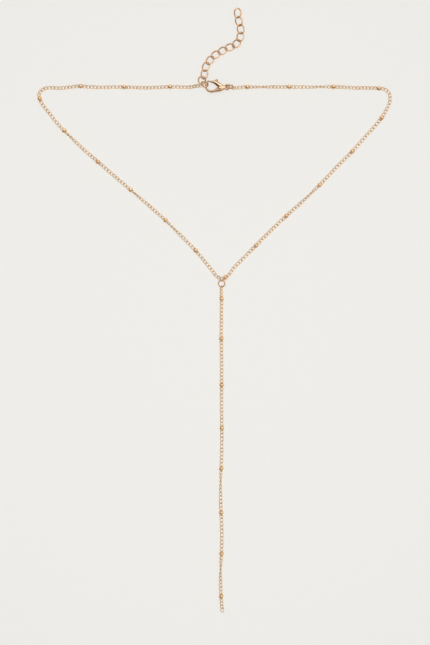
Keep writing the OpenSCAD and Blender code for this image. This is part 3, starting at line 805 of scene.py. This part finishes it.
def swept(rows, sides, power):
    """A closed body along rows of x, y, half width and half height. Across each point of a smooth curve
    through the rows lies a section: half width times cos q to the power by half height times sin q to
    the power. Both ends close as a quarter of an arc."""
    line = curve_through(rows, SWEEP_SPACING)[0]
    arc = np.linspace(0, np.pi / 2, END_POINTS)[1:]
    ends = []
    for row, inner in ((line[0], line[1]), (line[-1], line[-2])):
        out = unit(row[:2] - inner[:2])
        reach = min(row[2], row[3])
        middles = row[:2] + reach * np.sin(arc)[:, None] * out
        ends.append(np.column_stack([middles, row[2:] * np.cos(arc)[:, None]]))
    line = np.vstack([ends[0][::-1], line, ends[1]])
    keep = line[1:-1]
    ahead = unit(np.gradient(line[:, :2], axis=0))[1:-1]
    q = np.linspace(0, 2 * np.pi, sides, endpoint=False)[None, :]
    across = np.sign(np.cos(q)) * np.abs(np.cos(q)) ** power * keep[:, 2:3]
    up = np.sign(np.sin(q)) * np.abs(np.sin(q)) ** power * keep[:, 3:4]
    points = np.stack([keep[:, 0:1] + across * ahead[:, 1:2], keep[:, 1:2] - across * ahead[:, 0:1],
                       up], -1)
    poles = np.column_stack([line[[0, -1], :2], [0, 0]])
    return np.vstack([points.reshape(-1, 3), poles]), tube_faces(*points.shape[:2])


def turned_ring(outer, inner, thickness, rounding, sides):
    """A flat ring with rounded edges: a rectangle with quarter arcs for corners, swept round Z."""
    corner = np.linspace(0, np.pi / 2, CORNER_POINTS)
    half = thickness / 2 - rounding
    r = np.concatenate([centre_r + rounding * np.cos(corner + start) for centre_r, start in (
        (outer - rounding, -np.pi / 2), (outer - rounding, 0), (inner + rounding, np.pi / 2),
        (inner + rounding, np.pi))])
    z = np.concatenate([centre_z + rounding * np.sin(corner + start) for centre_z, start in (
        (-half, -np.pi / 2), (half, 0), (half, np.pi / 2), (-half, np.pi))])
    t = np.linspace(0, 2 * np.pi, sides, endpoint=False)[:, None]
    points = np.stack([r * np.cos(t), r * np.sin(t), z + 0 * t], -1)
    return points.reshape(-1, 3), [loop_faces(*points.shape[:2])]


def prism(outline, thickness):
    """An outline, counter-clockwise, carried straight up from half its thickness below to half above."""
    count = len(outline)
    i = np.arange(count)
    i_next = (i + 1) % count
    levels = (-thickness / 2, thickness / 2)
    points = np.vstack([np.column_stack([outline, np.full(count, z)]) for z in levels])
    walls = np.column_stack([i, i_next, i_next + count, i + count])
    return points, [walls, i[None, ::-1], i[None] + count]


def disc(middle, radius):
    """Outline of a circle, counter-clockwise."""
    t = np.linspace(0, 2 * np.pi, CIRCLE_POINTS, endpoint=False)
    return middle + radius * np.column_stack([np.cos(t), np.sin(t)])


def cast(first, joined, cut, grain, softening):
    """Mesh of one casting: the joined solids are fused to the first and the cut ones taken out, the result
    is rebuilt in even facets of the grain's size and its edges are softened. It works in millimetres,
    because the facets are too small for the remesher in metres. Returns points and faces in metres."""
    parts = []
    for points, faces in (first, *joined, *cut):
        mesh = bpy.data.meshes.new("casting")
        mesh.from_pydata((points / MM).tolist(), [], [face for part in faces for face in part.tolist()])
        parts.append(bpy.data.objects.new("casting", mesh))
        bpy.context.scene.collection.objects.link(parts[-1])
    for i, part in enumerate(parts[1:]):
        fuse = parts[0].modifiers.new("fuse", "BOOLEAN")
        fuse.operation = "UNION" if i < len(joined) else "DIFFERENCE"
        fuse.solver = "EXACT"
        fuse.object = part
    even = parts[0].modifiers.new("even", "REMESH")
    even.mode = "VOXEL"
    even.voxel_size = grain / MM
    even.adaptivity = 0
    soft = parts[0].modifiers.new("soft", "SMOOTH")
    soft.factor = 0.5
    soft.iterations = softening
    result = parts[0].evaluated_get(bpy.context.evaluated_depsgraph_get()).to_mesh()
    points = np.zeros(len(result.vertices) * 3)
    result.vertices.foreach_get("co", points)
    corners = np.zeros(len(result.loops), int)
    result.loops.foreach_get("vertex_index", corners)
    parts[0].to_mesh_clear()
    for part in parts:
        mesh = part.data
        bpy.data.objects.remove(part)
        bpy.data.meshes.remove(mesh)
    return points.reshape(-1, 3) * MM, [corners.reshape(-1, 4)]


def crease(side):
    """A cut along the crease's rows, moved to the surface on one side of the body, 1 above or -1 below."""
    points, faces = swept(CREASE_ROWS, CREASE_SIDES, SHARP_EDGED)
    points[:, 2] += side * np.interp(points[:, 0], CREASE_ROWS[:, 0], CREASE_HEIGHTS)
    return points, faces


# The clasp's deep gold is a dark brown, so the painted shade in its creases, slot and hollows comes out
# near black; the slow random wander darkens it too
clasp_gold = plated_gold("clasp_gold", bright=(0.84, 0.61, 0.40), deep=(0.42, 0.21, 0.09), gloss=0.12,
                         scuff=0.12, drawn=False)

hub_room = disc(PIVOT, HUB_ROOM_RADIUS)
hub_room[:, 0] = np.minimum(hub_room[:, 0], HUB_ROOM_END)
body_points, body_faces = cast(
    swept(BODY_ROWS, BODY_SIDES, OVAL),
    [turned_ring(EYE_RADIUS, EYE_HOLE_RADIUS, EYE_THICKNESS, EYE_ROUNDING, CIRCLE_POINTS)],
    [prism(disc([0, 0], EYE_HOLE_RADIUS), CUT_THROUGH * EYE_THICKNESS),
     prism(hub_room, SLOT_HEIGHT),
     prism(SLOT_OUTLINE, SLOT_HEIGHT),
     crease(1), crease(-1)],
    CAST_GRAIN, CAST_SOFTENING)
add_piece("clasp_casting", body_points + CLASP_MIDDLE, body_faces, clasp_gold, ["clasp_body"])


# Lever
# The clasp's trigger: a flat cast arm with a round hub on the rivet, an elbow, a tip that comes close to
# the hook's point, and a tab for the thumb that stands out of the clasp's back.
LEVER_ROWS = np.array([
    [-3, 0.3, 1.18, 0.5],
    [-4.5, 1.45, 1.0, 0.55],
    [-5.9, 2.35, 0.84, 0.55],
    [-7.1, 2.65, 0.57, 0.45],
    [-8.17, 2.75, 0.38, 0.38],
]) * MM
TAB_ROWS = np.array([
    [-5.6, 2.6, 0.72, 0.42],
    [-5.25, 3.2, 0.6, 0.45],
    [-4.98, 3.58, 0.5, 0.45],
]) * MM
# The rivet that it turns on, and its play in the hub
RIVET_RADIUS = 0.4 * MM
RIVET_HALF_LENGTH = 1.13 * MM
RIVET_PLAY = 0.05 * MM

lever_points, lever_faces = cast(
    swept(LEVER_ROWS, BODY_SIDES, SHARP_EDGED),
    [swept(TAB_ROWS, BODY_SIDES, OVAL)],
    [prism(disc(PIVOT, RIVET_RADIUS + RIVET_PLAY), CUT_THROUGH * RIVET_HALF_LENGTH)],
    CAST_GRAIN, CAST_SOFTENING)
add_piece("clasp_trigger", lever_points + CLASP_MIDDLE, lever_faces, clasp_gold,
          ["clasp_lever"], body="lever")


# Rivet
# A short brass pin through both cheeks and the lever's hub. Its ends were hammered down to low domes
# that hold it in the cheeks, and the lever turns on it.
RIVET_DOME = 0.08 * MM
RIVET_SIDES = 24
DOME_POINTS = 6


def domed_pin(radius, half_length, dome, steps, sides):
    """A round pin along Z with a low dome on each end: the dome's height is the cosine of an angle, and the
    way out from its middle is the sine."""
    out = np.sin(np.linspace(0, np.pi / 2, steps)[1:])
    height = half_length + dome * np.cos(np.linspace(0, np.pi / 2, steps)[1:])
    r = radius * np.concatenate([out, out[::-1]])
    z = np.concatenate([-height, height[::-1]])
    q = np.linspace(0, 2 * np.pi, sides, endpoint=False)
    points = np.stack([r[:, None] * np.cos(q), -r[:, None] * np.sin(q), z[:, None] + 0 * q], -1)
    poles = [[0, 0, -half_length - dome], [0, 0, half_length + dome]]
    return np.vstack([points.reshape(-1, 3), poles]), tube_faces(*points.shape[:2])


rivet_points, rivet_faces = domed_pin(RIVET_RADIUS, RIVET_HALF_LENGTH, RIVET_DOME, DOME_POINTS,
                                      RIVET_SIDES)
add_piece("clasp_rivet", rivet_points + CLASP_MIDDLE + [*PIVOT, 0], rivet_faces, clasp_gold,
          ["clasp_pin"])
